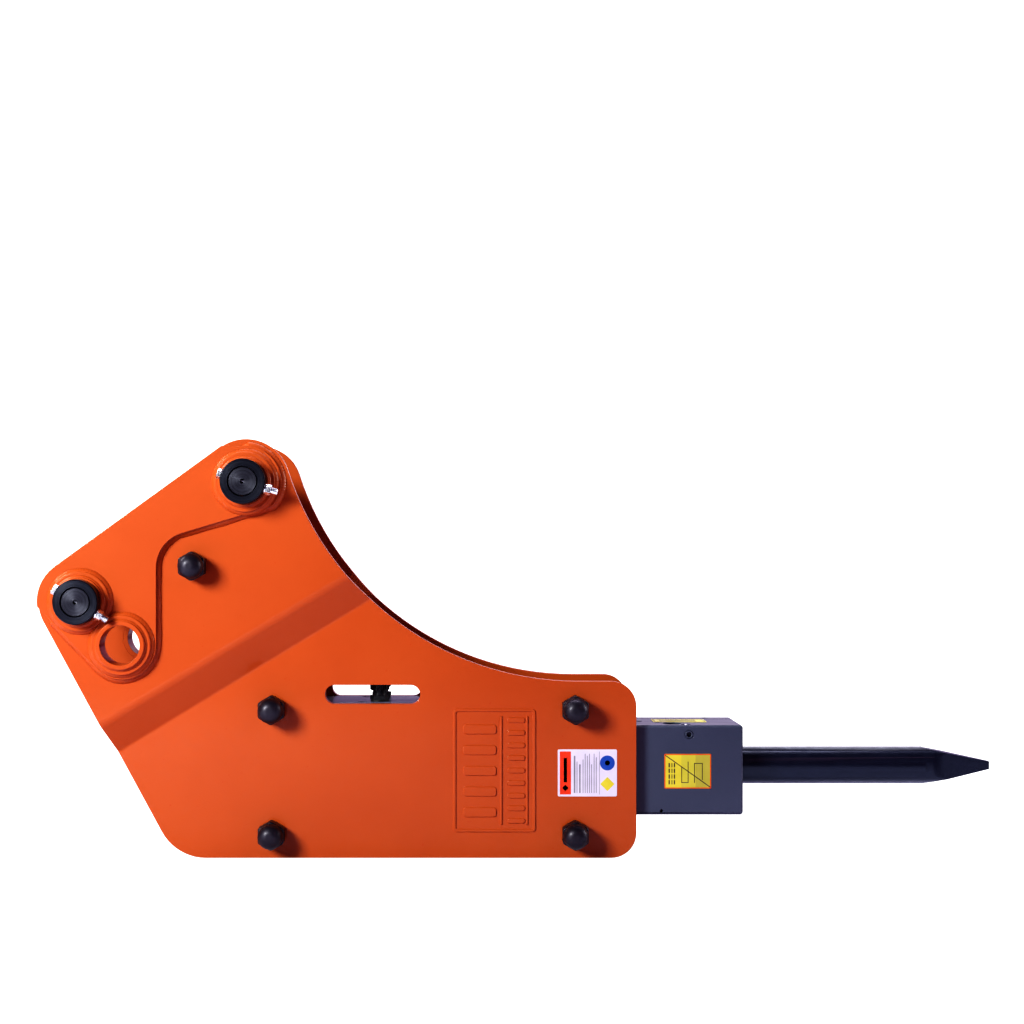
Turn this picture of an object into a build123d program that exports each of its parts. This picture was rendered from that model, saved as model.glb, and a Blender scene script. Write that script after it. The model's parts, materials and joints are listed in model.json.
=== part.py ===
from build123d import *
import math
import os

# Hydraulic breaker hammer, side-plate type, for an excavator of about 2.5 to 4.5 t.
# Millimetres. +X points along the tool to its tip, +Z is up, and -Y is the near side plate.
# The breaker lies on the straight lower edges of its side plates, which are at Z = 0.
# X = 0 is the middle of the overall length, and Y = 0 is the plane midway between the plates.
# Most pieces on the side plates are made once for the near side and mirrored to the far side.

# ---------------------------------------------------------------- driving dimensions
TOOL_Z = 121.0            # height of the tool's axis
BODY_HALF_W = 63.0        # half the width of the power cell
BODY_HALF_H = 95.0        # half the height of the power cell between the plates
NOSE_HALF_H = 63.0        # half the height of the nose that stands out of the plates
TIP_X = 673.0             # tip of the chisel

PLATE_T = 16.0            # side plate
FLARE = 25.0              # how far the upper part of each plate is set outwards
LOW_IN = BODY_HALF_W      # inner face of the plate's lower part
LOW_OUT = LOW_IN + PLATE_T
UP_IN = LOW_IN + FLARE
UP_OUT = UP_IN + PLATE_T
DOUBLER_T = 10.0
DOUBLER_OUT = UP_OUT + DOUBLER_T
BOSS_T = 8.0
BOSS_OUT = DOUBLER_OUT + BOSS_T
BUSH_OUT = BOSS_OUT + 6.0

LOWER_PIN = (-613.5, 360.0)
UPPER_PIN = (-385.5, 525.0)
ALT_HOLE = (-556.5, 300.0)
PIN_BORES = (LOWER_PIN, UPPER_PIN, ALT_HOLE)
LOBE_R = 60.0             # plate outline round each pin
PLATE_TOP_Z = 247.0
PLATE_RIGHT_X = 158.2
CORNER_R = 35.0
HEEL_R = 70.0
THROAT_R = 425.0          # concave edge from the upper pin to the straight top edge
HEEL_SLOPE = -61.5        # direction of the lower left edge, degrees

JOGGLE_ANGLE = 31.2       # direction of the bend lines, degrees
JOGGLE_POINT = (-407.0, 271.0)
JOGGLE_HALF = 22.0        # half the width of the ramp between the two bends
BEND_R = 10.0

BUSH_R = 34.0
BUSH_BORE_R = 27.5
BOSS_R = 42.0
DOUBLER_R = 50.0         # doubler's lobe round the upper pin
ALT_LOBE_R = 48.0
DOUBLER_EDGE = 42.6       # doubler's lower edge to the upper pin's axis
DOUBLER_SLOPE = 16.7      # direction of that edge, degrees

SLOT_X, SLOT_Z = -211.0, 228.8
SLOT_L, SLOT_H = 133.0, 26.7

REAR_STUD_X, FRONT_STUD_X = -351.6, 72.0
STUD_DZ = 87.2            # side studs above and below the tool axis
STUD_R = 12.0
STUD_HOLE_R = 12.8
NOTCH_R = 12.6
BRACE = (-458.6, 409.0)
WASHER_T = 4.0
CAP_NUT_H = 40.0
CAP_HEX_H = 20.0
CAP_HEX_AF = 36.0
CAP_CORNER_R = 5.0        # rounding of the hexagon's corners
CROWN_R = 17.5
WASHER_R = 17.8           # spring washers, no wider than the nut's flats

PIN_R = 20.0
COLLAR_R = 31.0
COLLAR_IN = BUSH_OUT + 0.4
COLLAR_OUT = 150.0
PIN_FIT = 0.06            # radial running clearance
PIN_HALF_L = 149.0
LOCK_Y = 139.0            # lock bolts' distance from the middle plane
LOCK_R = 4.0

BACK_X = -402.0           # rear face of the back head
CYL_REAR_X = -300.0
CYL_FRONT_X = -40.0
SHOULDER_X = 128.0        # where the front head narrows to the nose
NOSE_X = 310.0
ROD_Y, ROD_DZ, ROD_R = 44.0, 60.0, 9.0
ROD_FRONT_X = 62.0
PORT_X, PORT_Y = -203.0, 33.0

SHANK_R = 26.5
CHISEL_REAR_X = 74.0
CHISEL_STEP_X = 126.0
SPIGOT_R = 23.0
TAPER_L = 101.0           # the four ground flats of the point
TIP_SIDE = 11.0
CHISEL_IN = 36.0          # travel into the head from the stretched out position
CHISEL_OUT = 6.0
PISTON_FRONT_X = 37.0
PISTON_STROKE = 55.0
KEEPER_X, KEEPER_Y, KEEPER_R = 213.0, -35.0, 13.5
NOSE_TOP_Z = TOOL_Z + NOSE_HALF_H
NIPPLE = (231.0, -47.5)
NIPPLE_SEAT_Z = NOSE_TOP_Z - 8.8
LIFT_HOLES = ((169.0, 0.0), (270.0, 50.0))
SOCKET_PLUG = (234.0, 171.0)
DOWEL_HOLE = (195.0, 63.5)

CARRIER_R, CARRIER_FRONT_X = 40.0, -262.0
BORE_FRONT_X = -96.0
GAS_CHAMBER_R, GAS_PORT_R = 30.0, 9.0
REAR_ROD_R, PISTON_R, STRIKER_R = 22.0, 30.0, 23.0
REAR_SEALS_X, REAR_SEAL_R, REAR_SEAL_W = (-294.0, -283.0, -272.0), 27.0, 5.0
FRONT_SEALS_X, FRONT_SEAL_R, FRONT_SEAL_W = (-80.0, -62.0), 29.0, 7.0
JOINT_SEAL_R, JOINT_SEAL_BORE_R, JOINT_SEAL_W = 37.0, 33.0, 3.2
SLIDE_GAP = 0.3           # between the sliding pieces and the bores they run in
BUSH_OD_R = 37.0          # thrust bush and tool bush
DUST_SEAL_R, DUST_SEAL_X = 41.0, 295.0
VALVE_Z, VALVE_R, VALVE_FRONT_X = 189.0, 17.0, -226.0
SPOOL_R, SPOOL_STEM_R = 10.7, 7.0

PORT_FACE_Z = TOOL_Z + BODY_HALF_H
SEAL_R, SEAL_T = 13.0, 2.4
ADAPTER_TOP_Z = PORT_FACE_Z + 33.0
ADAPTER_THREAD_R = 9.5
ADAPTER_HEX_H = 6.0
CAP_R = 13.3              # dust caps
CAP_SKIRT = 17.5
PORT_THREAD_R = 10.5
OIL_PLUGS = ((-227.0, -48.5), (-227.0, 48.5), (-120.0, 0.0))

PANEL_X0, PANEL_X1, PANEL_Z0, PANEL_Z1 = -98.0, 17.0, 36.5, 208.5
PANEL_RIDGES = (-31.0, 5.2)
EMBOSS = 1.6
STICKER_T = 0.4


# ---------------------------------------------------------------- small helpers
def rod_x(r, x0, x1, y=0.0, z=TOOL_Z):
    return Pos((x0 + x1) / 2, y, z) * Rot(0, 90, 0) * Cylinder(r, x1 - x0)


def rod_y(r, y0, y1, x, z):
    return Pos(x, (y0 + y1) / 2, z) * Rot(90, 0, 0) * Cylinder(r, abs(y1 - y0))


def rod_z(r, z0, z1, x, y):
    return Pos(x, y, (z0 + z1) / 2) * Cylinder(r, z1 - z0)


def block(x0, x1, y0, y1, z0, z1):
    return Pos((x0 + x1) / 2, (y0 + y1) / 2, (z0 + z1) / 2) * Box(x1 - x0, y1 - y0, z1 - z0)


def near_slab(face, d0, d1):
    """Extrude a face drawn in X and Z from d0 to d1 in front of the middle plane."""
    return extrude(Plane.XZ.offset(d0) * face, d1 - d0)


def far(shape):
    return mirror(shape, about=Plane.XZ)


def hexagon(across_flats):
    return RegularPolygon(across_flats / 2, 6, major_radius=False)


def on_circle(centre, r, deg):
    return (centre[0] + r * math.cos(math.radians(deg)), centre[1] + r * math.sin(math.radians(deg)))


def arc(centre, r, deg0, deg1):
    mid = (deg0 + deg1) / 2
    return ThreePointArc(on_circle(centre, r, deg0), on_circle(centre, r, mid), on_circle(centre, r, deg1))


def angle_to(a, b):
    return math.degrees(math.atan2(b[1] - a[1], b[0] - a[0]))


def outer_edges(part, axis, index):
    """The round edges on the highest (-1) or lowest (0) face along an axis."""
    face = part.faces().sort_by(axis)[index]
    return face.edges()


def save(node, *solids):
    """Write one node: a single solid, or a group of separate identical pieces."""
    pieces = []
    for s in solids:
        pieces.extend(s.solids())
    shape = pieces[0] if len(pieces) == 1 else Compound(children=pieces)
    export_step(shape, f"parts/{node}.step")


# ---------------------------------------------------------------- side plates
TOP_LEFT_DEG = angle_to(LOWER_PIN, UPPER_PIN)
TOP_LEFT_NORMAL = TOP_LEFT_DEG + 90
HEEL_NORMAL = HEEL_SLOPE - 90 + 360
THROAT_DX = math.sqrt((THROAT_R + LOBE_R) ** 2 - (PLATE_TOP_Z + THROAT_R - UPPER_PIN[1]) ** 2)
THROAT_C = (UPPER_PIN[0] + THROAT_DX, PLATE_TOP_Z + THROAT_R)
THROAT_DEG = angle_to(UPPER_PIN, THROAT_C)


def heel_corner():
    """Where the straight lower left edge, carried on, meets Z = 0."""
    start = on_circle(LOWER_PIN, LOBE_R, HEEL_NORMAL)
    return (start[0] - start[1] / math.tan(math.radians(HEEL_SLOPE)), 0.0)


def plate_outline():
    lower_arc = arc(LOWER_PIN, LOBE_R, HEEL_NORMAL, TOP_LEFT_NORMAL)
    upper_arc = arc(UPPER_PIN, LOBE_R, TOP_LEFT_NORMAL, THROAT_DEG)
    throat = arc(THROAT_C, THROAT_R, THROAT_DEG + 180, 270)
    rest = FilletPolyline(
        (THROAT_C[0], PLATE_TOP_Z),
        (PLATE_RIGHT_X, PLATE_TOP_Z),
        (PLATE_RIGHT_X, 0.0),
        heel_corner(),
        on_circle(LOWER_PIN, LOBE_R, HEEL_NORMAL),
        radius=[CORNER_R, CORNER_R, HEEL_R],
    )
    top_left = Line(lower_arc @ 1, upper_arc @ 0)
    return make_face(Wire([*lower_arc.edges(), *top_left.edges(), *upper_arc.edges(),
                           *throat.edges(), *rest.edges()]))


def ramp_corners(section, depths):
    """The corners of the joggle's section that lie at one of the two depths."""
    near_ramp = [v for v in section.vertices() if abs(v.X) < 2 * JOGGLE_HALF]
    return [v for v in near_ramp if min(abs(v.Y - d) for d in depths) < 0.01]


def joggled_sheet():
    """A wide sheet with the joggle pressed into it, in place for the near side."""
    reach = 900.0
    shift = PLATE_T * math.tan(math.atan2(FLARE, 2 * JOGGLE_HALF) / 2)
    outer = [(-reach, UP_OUT), (-JOGGLE_HALF, UP_OUT), (JOGGLE_HALF, LOW_OUT), (reach, LOW_OUT)]
    inner = [(reach, LOW_IN), (JOGGLE_HALF - shift, LOW_IN), (-JOGGLE_HALF - shift, UP_IN), (-reach, UP_IN)]
    section = make_face(Polyline(*outer, *inner, close=True))
    section = fillet(ramp_corners(section, (LOW_OUT, UP_IN)), BEND_R)
    section = fillet(ramp_corners(section, (UP_OUT, LOW_IN)), BEND_R + PLATE_T)
    across = JOGGLE_ANGLE - 90
    c, s = math.cos(math.radians(across)), math.sin(math.radians(across))
    plane = Plane(origin=(JOGGLE_POINT[0], 0, JOGGLE_POINT[1]), x_dir=(c, 0, s),
                  z_dir=Vector(c, 0, s).cross(Vector(0, -1, 0)))
    return extrude(plane * section, reach, both=True)


def window():
    return Pos(SLOT_X, SLOT_Z) * SlotOverall(SLOT_L, SLOT_H)


def stud_places():
    return [(x, TOOL_Z + s * STUD_DZ) for x in (REAR_STUD_X, FRONT_STUD_X) for s in (-1, 1)]


def embossed_panel():
    """A raised frame holding plain raised bars, in place of the maker's panel."""
    w, h = PANEL_X1 - PANEL_X0, PANEL_Z1 - PANEL_Z0
    mid = Pos((PANEL_X0 + PANEL_X1) / 2, (PANEL_Z0 + PANEL_Z1) / 2)
    frame = mid * RectangleRounded(w, h, 5) - mid * RectangleRounded(w - 7, h - 7, 3)
    ribs = frame
    for i in range(5):
        ribs += Pos(-61.0, 64.0 + i * 29.0) * RectangleRounded(46, 13, 4)
    for i in range(9):
        ribs += Pos(-10.0, 52.0 + i * 17.6) * RectangleRounded(24, 7, 3)
    for x in PANEL_RIDGES:
        ribs += Pos(x, (PANEL_Z0 + PANEL_Z1) / 2) * RectangleRounded(2.4, h - 20, 1)
    return extrude(Plane.XZ.offset(LOW_OUT) * ribs, EMBOSS)


def side_plate():
    plate = near_slab(plate_outline(), 0, UP_OUT + 5) & joggled_sheet()
    cuts = [near_slab(window(), LOW_IN - 5, LOW_OUT + 5)]
    for x, z in PIN_BORES:
        cuts.append(rod_y(BUSH_R, -UP_OUT - 5, -UP_IN + 5, x, z))
    for x, z in stud_places() + [BRACE]:
        cuts.append(rod_y(STUD_HOLE_R, -UP_OUT - 5, -LOW_IN + 5, x, z))
    return plate - cuts + embossed_panel()


def doubler_outline():
    """The stiffening plate round the three pin bores, flush with the side plate's upper left edges."""
    alt_deg = angle_to(LOWER_PIN, ALT_HOLE) - 90
    low_tangent = on_circle(ALT_HOLE, ALT_LOBE_R, alt_deg)
    beside_pin = on_circle(LOWER_PIN, BOSS_R + 6, alt_deg)
    edge_start = on_circle(low_tangent, 3 * LOBE_R, angle_to(low_tangent, beside_pin))
    waist_x = ALT_HOLE[0] + ALT_LOBE_R
    turn = math.degrees(math.acos(DOUBLER_EDGE / DOUBLER_R))
    lobe_end_deg = DOUBLER_SLOPE - 90 + turn
    lobe_end = on_circle(UPPER_PIN, DOUBLER_R, lobe_end_deg)
    corner_z = lobe_end[1] - (lobe_end[0] - waist_x) * math.tan(math.radians(DOUBLER_SLOPE))
    waist = FilletPolyline(lobe_end, (waist_x, corner_z), (waist_x, ALT_HOLE[1]), radius=50)
    alt_arc = arc(ALT_HOLE, ALT_LOBE_R, 0, alt_deg)
    cut_corner = Line(alt_arc @ 1, edge_start)
    far_left = LOWER_PIN[0] - 2 * LOBE_R
    crest_z = UPPER_PIN[1] + DOUBLER_R
    loop = Polyline(edge_start, (far_left, edge_start[1]), (far_left, crest_z), (UPPER_PIN[0], crest_z))
    lobe = arc(UPPER_PIN, DOUBLER_R, 90, lobe_end_deg)
    rough = make_face(Wire([*loop.edges(), *lobe.edges(), *waist.edges(), *alt_arc.edges(),
                            *cut_corner.edges()]))
    rough = fillet(rough.vertices().sort_by_distance(lobe_end)[0], 12)
    return rough & plate_outline()


def doubler_plate():
    plate = near_slab(doubler_outline(), UP_OUT, DOUBLER_OUT)
    return plate - [rod_y(BUSH_R, -DOUBLER_OUT - 5, -UP_OUT + 5, x, z) for x, z in PIN_BORES]


def boss_ring(x, z):
    ring = rod_y(BOSS_R, -BOSS_OUT, -DOUBLER_OUT, x, z)
    ring = chamfer(outer_edges(ring, Axis.Y, 0), 1.5)
    return ring - rod_y(BUSH_R, -BOSS_OUT - 1, -DOUBLER_OUT + 1, x, z)


def plate_bush(x, z):
    bush = rod_y(BUSH_R, -BUSH_OUT, -UP_IN, x, z)
    bush = chamfer(outer_edges(bush, Axis.Y, 0), 1.0)
    bore = rod_y(BUSH_BORE_R, -BUSH_OUT - 1, -UP_IN + 1, x, z)
    return bush - bore


# ---------------------------------------------------------------- studs and cap nuts
def stud(x, z, outer_face):
    tip = outer_face + WASHER_T + CAP_NUT_H - 13.5
    bar = rod_y(STUD_R, -tip, tip, x, z)
    ends = [outer_edges(bar, Axis.Y, 0), outer_edges(bar, Axis.Y, -1)]
    return chamfer([e for group in ends for e in group], 1.5)


def stud_washer(x, z, outer_face):
    ring = rod_y(WASHER_R, -outer_face - WASHER_T, -outer_face, x, z)
    ring = chamfer(outer_edges(ring, Axis.Y, 0), 0.8)
    return ring - rod_y(STUD_HOLE_R, -outer_face - WASHER_T - 1, -outer_face + 1, x, z)


def cap_nut(x, z, outer_face):
    """A high domed nut: a hexagon, points up, with a tall rounded crown and a blind bore."""
    base = Rot(0, 0, 30) * extrude(hexagon(CAP_HEX_AF), CAP_HEX_H)
    base = fillet(base.edges().filter_by(Axis.Z), CAP_CORNER_R)
    base = chamfer(base.faces().sort_by(Axis.Z)[-1].edges(), 1.2)
    crown = Pos(0, 0, CAP_NUT_H / 2 + 5) * Cylinder(CROWN_R, CAP_NUT_H - 10)
    crown = fillet(outer_edges(crown, Axis.Z, -1), 14.5)
    nut = base + crown
    nut -= Pos(0, 0, CAP_NUT_H / 2 - 7) * Cylinder(STUD_R, CAP_NUT_H - 10)
    return Pos(x, -outer_face - WASHER_T, z) * Rot(90, 0, 0) * nut


def brace_spacer():
    tube = rod_y(19.0, -UP_IN, UP_IN, *BRACE)
    return tube - rod_y(STUD_HOLE_R, -UP_IN - 1, UP_IN + 1, *BRACE)


# ---------------------------------------------------------------- pins and collars
def mount_pin(x, z, lock_deg):
    pin = rod_y(PIN_R, -PIN_HALF_L, PIN_HALF_L, x, z)
    ends = list(outer_edges(pin, Axis.Y, 0)) + list(outer_edges(pin, Axis.Y, -1))
    pin = chamfer(ends, 1.2)
    for s in (-1, 1):
        pin -= rod_y(3.0, s * (PIN_HALF_L + 1), s * (PIN_HALF_L - 9), x, z)
        pin -= lock_bar(x, z, s, lock_deg, LOCK_R + 0.5, -40, 40)
    return pin


def lock_bar(x, z, side, deg, r, a, b):
    """A bar across a pin end, from a to b along the direction deg in the X-Z plane."""
    bar = Pos((a + b) / 2, 0, 0) * Rot(0, 90, 0) * Cylinder(r, b - a)
    return Pos(x, side * LOCK_Y, z) * Rot(0, -deg, 0) * bar


def pin_collar(x, z, side, lock_deg):
    flange = rod_y(COLLAR_R, side * COLLAR_IN, side * COLLAR_OUT, x, z)
    flange = chamfer(outer_edges(flange, Axis.Y, 0 if side < 0 else -1), 1.2)
    spigot = rod_y(BUSH_BORE_R - PIN_FIT, side * UP_IN, side * COLLAR_IN, x, z)
    collar = flange + spigot
    collar -= rod_y(PIN_R + 0.5, side * (UP_IN - 1), side * (COLLAR_OUT + 1), x, z)
    return collar - lock_bar(x, z, side, lock_deg, LOCK_R + 0.5, -40, 40)


def lock_bolt(x, z, side, deg):
    """M8 hexagon bolt across the collar and the pin, its head at the upper left."""
    seat = COLLAR_R + 0.6
    shank = Pos(9, 0, 0) * Rot(0, 90, 0) * Cylinder(LOCK_R, 2 * seat + 18)
    head = Pos(-seat - 5.3, 0, 0) * Rot(0, 90, 0) * extrude(hexagon(13.0), 5.3)
    return Pos(x, side * LOCK_Y, z) * Rot(0, -deg, 0) * (shank + head)


def lock_washer(x, z, side, deg):
    ring = Cylinder(7.2, 1.8) - Cylinder(LOCK_R, 3)
    return Pos(x, side * LOCK_Y, z) * Rot(0, -deg, 0) * Pos(COLLAR_R + 1.5, 0, 0) * Rot(0, 90, 0) * ring


def lock_nut(x, z, side, deg):
    nut = extrude(hexagon(13.0), 6.8) - Cylinder(LOCK_R, 30)
    return Pos(x, side * LOCK_Y, z) * Rot(0, -deg, 0) * Pos(COLLAR_R + 2.4, 0, 0) * Rot(0, 90, 0) * nut


# ---------------------------------------------------------------- power cell
def rod_places():
    return [(y * ROD_Y, TOOL_Z + s * ROD_DZ) for y in (-1, 1) for s in (-1, 1)]


def cell_block(x0, x1, half_h=BODY_HALF_H):
    part = block(x0, x1, -BODY_HALF_W, BODY_HALF_W, TOOL_Z - half_h, TOOL_Z + half_h)
    return chamfer(part.edges().filter_by(Axis.X), 3.0)


def stud_notches(x):
    """Half-round grooves, open above and below, that the side studs pass through."""
    return [rod_y(NOTCH_R, -BODY_HALF_W - 5, BODY_HALF_W + 5, x, TOOL_Z + s * STUD_DZ) for s in (-1, 1)]


def back_head():
    part = cell_block(BACK_X, CYL_REAR_X)
    part -= rod_x(GAS_CHAMBER_R, BACK_X + 27, CYL_REAR_X + 1)
    part -= stud_notches(REAR_STUD_X)
    part -= [rod_x(ROD_R + 0.5, BACK_X - 1, CYL_REAR_X + 1, y, z) for y, z in rod_places()]
    return part - rod_x(GAS_PORT_R, BACK_X - 1, BACK_X + 28)


def cylinder():
    part = cell_block(CYL_REAR_X, CYL_FRONT_X)
    part -= rod_x(CARRIER_R, CYL_REAR_X - 1, CARRIER_FRONT_X)
    part -= rod_x(PISTON_R + SLIDE_GAP, CARRIER_FRONT_X - 1, BORE_FRONT_X)
    part -= rod_x(STRIKER_R + SLIDE_GAP, BORE_FRONT_X - 1, CYL_FRONT_X + 1)
    part -= [rod_x(FRONT_SEAL_R, x, x + FRONT_SEAL_W) for x in FRONT_SEALS_X]
    part -= [rod_x(ROD_R + 0.5, CYL_REAR_X - 1, CYL_FRONT_X + 1, y, z) for y, z in rod_places()]
    part -= rod_x(VALVE_R, CYL_REAR_X - 1, VALVE_FRONT_X, 0, VALVE_Z)
    part -= ring_x(JOINT_SEAL_R, JOINT_SEAL_BORE_R, CYL_FRONT_X - JOINT_SEAL_W, CYL_FRONT_X + 1)
    part -= [rod_z(PORT_THREAD_R, PORT_FACE_Z - 24, PORT_FACE_Z + 1, PORT_X, s * PORT_Y) for s in (-1, 1)]
    part -= [rod_z(6.0, PORT_FACE_Z - 14, PORT_FACE_Z + 1, x, y) for x, y in OIL_PLUGS]
    return part


def front_head():
    """The rear block that the studs hold, and the square nose that guides the tool."""
    nose = cell_block(SHOULDER_X - 20, NOSE_X, NOSE_HALF_H)
    nose = chamfer(nose.faces().sort_by(Axis.X)[-1].edges(), 2.5)
    part = cell_block(CYL_FRONT_X, SHOULDER_X) + nose
    part -= rod_x(BUSH_OD_R, CYL_FRONT_X - 1, DUST_SEAL_X + 1)
    part -= rod_x(DUST_SEAL_R, DUST_SEAL_X, NOSE_X + 1)
    part -= stud_notches(FRONT_STUD_X)
    part -= [rod_x(ROD_R, CYL_FRONT_X - 1, ROD_FRONT_X + 0.5, y, z) for y, z in rod_places()]
    part -= rod_z(KEEPER_R + 0.05, TOOL_Z - NOSE_HALF_H - 1, NOSE_TOP_Z + 1, KEEPER_X, KEEPER_Y)
    part -= rod_y(6.3, -BODY_HALF_W - 1, -BODY_HALF_W + 12, *SOCKET_PLUG)
    part -= rod_y(2.2, -BODY_HALF_W - 1, -BODY_HALF_W + 8, *DOWEL_HOLE)
    part -= rod_z(3.0, NOSE_TOP_Z - 20, NOSE_TOP_Z + 1, *NIPPLE)
    part -= rod_z(7.0, NIPPLE_SEAT_Z, NOSE_TOP_Z + 1, *NIPPLE)
    return part - [rod_z(5.0, NOSE_TOP_Z - 14, NOSE_TOP_Z + 1, x, y) for x, y in LIFT_HOLES]


def ring_x(r_out, r_in, x0, x1, z=TOOL_Z):
    return rod_x(r_out, x0, x1, 0, z) - rod_x(r_in, x0 - 1, x1 + 1, 0, z)


def seal_set(r_out, shaft_r, starts, width):
    return [ring_x(r_out, shaft_r + SLIDE_GAP, x, x + width) for x in starts]


def seal_carrier():
    part = ring_x(CARRIER_R - 0.1, REAR_ROD_R + SLIDE_GAP, CYL_REAR_X, CARRIER_FRONT_X)
    return part - [rod_x(REAR_SEAL_R, x, x + REAR_SEAL_W) for x in REAR_SEALS_X]


def piston():
    """A stepped piston: gas side rod, two lands with a waist between them, and the striker."""
    part = rod_x(REAR_ROD_R, -290.0, -195.0)
    part += rod_x(PISTON_R, -200.0, -165.0)
    part += rod_x(PISTON_R - 4, -166.0, -134.0)
    part += rod_x(PISTON_R, -135.0, -100.0)
    part += rod_x(STRIKER_R, -101.0, PISTON_FRONT_X)
    ends = list(outer_edges(part, Axis.X, 0)) + list(outer_edges(part, Axis.X, -1))
    return chamfer(ends, 2.5)


def valve_sleeve():
    part = ring_x(VALVE_R, SPOOL_R + SLIDE_GAP, -290.0, VALVE_FRONT_X, VALVE_Z)
    return part - [rod_y(3.0, -VALVE_R - 1, VALVE_R + 1, x, VALVE_Z) for x in (-278.0, -262.0, -246.0)]


def valve_spool():
    part = rod_x(SPOOL_STEM_R, -275.0, -240.0, 0, VALVE_Z)
    part += rod_x(SPOOL_R, -280.0, -268.0, 0, VALVE_Z)
    return part + rod_x(SPOOL_R, -250.0, -236.0, 0, VALVE_Z)


def valve_plug():
    return rod_x(VALVE_R - 0.1, CYL_REAR_X, -290.0, 0, VALVE_Z)


def tie_rod(y, z):
    bar = rod_x(ROD_R, BACK_X - 24, ROD_FRONT_X, y, z)
    return chamfer(outer_edges(bar, Axis.X, 0), 1.5)


def tie_rod_nut(y, z):
    nut = Pos(BACK_X - 3 - 16, y, z) * Rot(0, 90, 0) * extrude(hexagon(27.0), 16.0)
    return nut - rod_x(ROD_R, BACK_X - 40, BACK_X + 1, y, z)


def tie_rod_washer(y, z):
    ring = rod_x(17.0, BACK_X - 3, BACK_X, y, z)
    return ring - rod_x(ROD_R + 0.5, BACK_X - 5, BACK_X + 1, y, z)


def thrust_bush():
    """Guides the striker and stops the tool's shoulder at the inner end of its travel."""
    ring = ring_x(BUSH_OD_R - 0.05, SPIGOT_R + 0.6, 40.0, CHISEL_STEP_X - CHISEL_IN - 0.5)
    return chamfer(outer_edges(ring, Axis.X, 0), 0.8)


def tool_bush():
    part = ring_x(BUSH_OD_R - 0.05, SHANK_R + SLIDE_GAP, 149.0, DUST_SEAL_X)
    return part - rod_z(KEEPER_R + SLIDE_GAP, TOOL_Z - 60, TOOL_Z + 60, KEEPER_X, KEEPER_Y)


def dust_seal():
    return ring_x(DUST_SEAL_R - 0.1, SHANK_R + 0.4, DUST_SEAL_X + 0.1, NOSE_X - 1)


def chisel():
    """A moil point: a round shank with a keeper flat, drawn out to a blunt square tip."""
    shank = rod_x(SHANK_R, CHISEL_STEP_X, TIP_X - TAPER_L + 5)
    shank = chamfer(outer_edges(shank, Axis.X, 0), 3.0)
    spigot = rod_x(SPIGOT_R, CHISEL_REAR_X, CHISEL_STEP_X + 4)
    spigot = chamfer(outer_edges(spigot, Axis.X, 0), 4.0)
    flat_x0 = KEEPER_X - KEEPER_R - CHISEL_OUT - 0.8
    flat_x1 = KEEPER_X + KEEPER_R + CHISEL_IN + 0.8
    flat_y = KEEPER_Y + KEEPER_R + 0.4
    flat = block(flat_x0, flat_x1, -SHANK_R - 5, flat_y, TOOL_Z - 30, TOOL_Z + 30)
    start = Plane(origin=(TIP_X - TAPER_L, 0, TOOL_Z), x_dir=(0, 1, 0), z_dir=(1, 0, 0))
    wide = start * Rectangle(2 * SHANK_R, 2 * SHANK_R)
    tip = start.offset(TAPER_L) * Rectangle(TIP_SIDE, TIP_SIDE)
    point = rod_x(SHANK_R, TIP_X - TAPER_L - 0.5, TIP_X) & loft([wide, tip])
    return shank + spigot - flat + point


def keeper_pin():
    pin = rod_z(KEEPER_R, TOOL_Z - NOSE_HALF_H + 9, NOSE_TOP_Z - 3, KEEPER_X, KEEPER_Y)
    return chamfer(outer_edges(pin, Axis.Z, -1), 1.5)


def keeper_plug():
    return rod_z(KEEPER_R, TOOL_Z - NOSE_HALF_H + 0.5, TOOL_Z - NOSE_HALF_H + 9, KEEPER_X, KEEPER_Y)


def socket_plug():
    plug = rod_y(6.3, -BODY_HALF_W + 0.5, -BODY_HALF_W + 11, *SOCKET_PLUG)
    socket = extrude(hexagon(7.0), 6.0)
    return plug - Pos(SOCKET_PLUG[0], -BODY_HALF_W + 0.5, SOCKET_PLUG[1]) * Rot(-90, 0, 0) * socket


def grease_nipple():
    """Stands in a counterbore, with its head level with the top of the nose."""
    part = rod_z(2.95, NIPPLE_SEAT_Z - 8, NIPPLE_SEAT_Z, *NIPPLE)
    part += Pos(*NIPPLE, NIPPLE_SEAT_Z) * extrude(hexagon(7.0), 2.6)
    part += rod_z(2.4, NIPPLE_SEAT_Z + 2, NIPPLE_SEAT_Z + 6, *NIPPLE)
    return part + Pos(*NIPPLE, NIPPLE_SEAT_Z + 6.2) * Sphere(3.0)


def gas_valve():
    body = rod_x(GAS_PORT_R - 0.1, BACK_X - 2, BACK_X + 22)
    return body + Pos(BACK_X - 9, 0, TOOL_Z) * Rot(0, 90, 0) * extrude(hexagon(22.0), 7.5)


def gas_valve_cap():
    cap = rod_x(7.0, BACK_X - 19, BACK_X - 9)
    return chamfer(outer_edges(cap, Axis.X, 0), 1.0)


# ---------------------------------------------------------------- oil ports
def adapter(y):
    """A straight adapter: G1/2 below, hexagon 24, then the thread that the hose nut goes on."""
    seat = PORT_FACE_Z + SEAL_T
    part = rod_z(PORT_THREAD_R - 0.1, PORT_FACE_Z - 15, seat + 0.5, PORT_X, y)
    part += Pos(PORT_X, y, seat) * extrude(hexagon(24.0), ADAPTER_HEX_H)
    part += rod_z(ADAPTER_THREAD_R, seat + ADAPTER_HEX_H - 0.5, ADAPTER_TOP_Z, PORT_X, y)
    part = chamfer(outer_edges(part, Axis.Z, -1), 1.5)
    return part - rod_z(5.5, PORT_FACE_Z - 16, ADAPTER_TOP_Z + 1, PORT_X, y)


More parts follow.
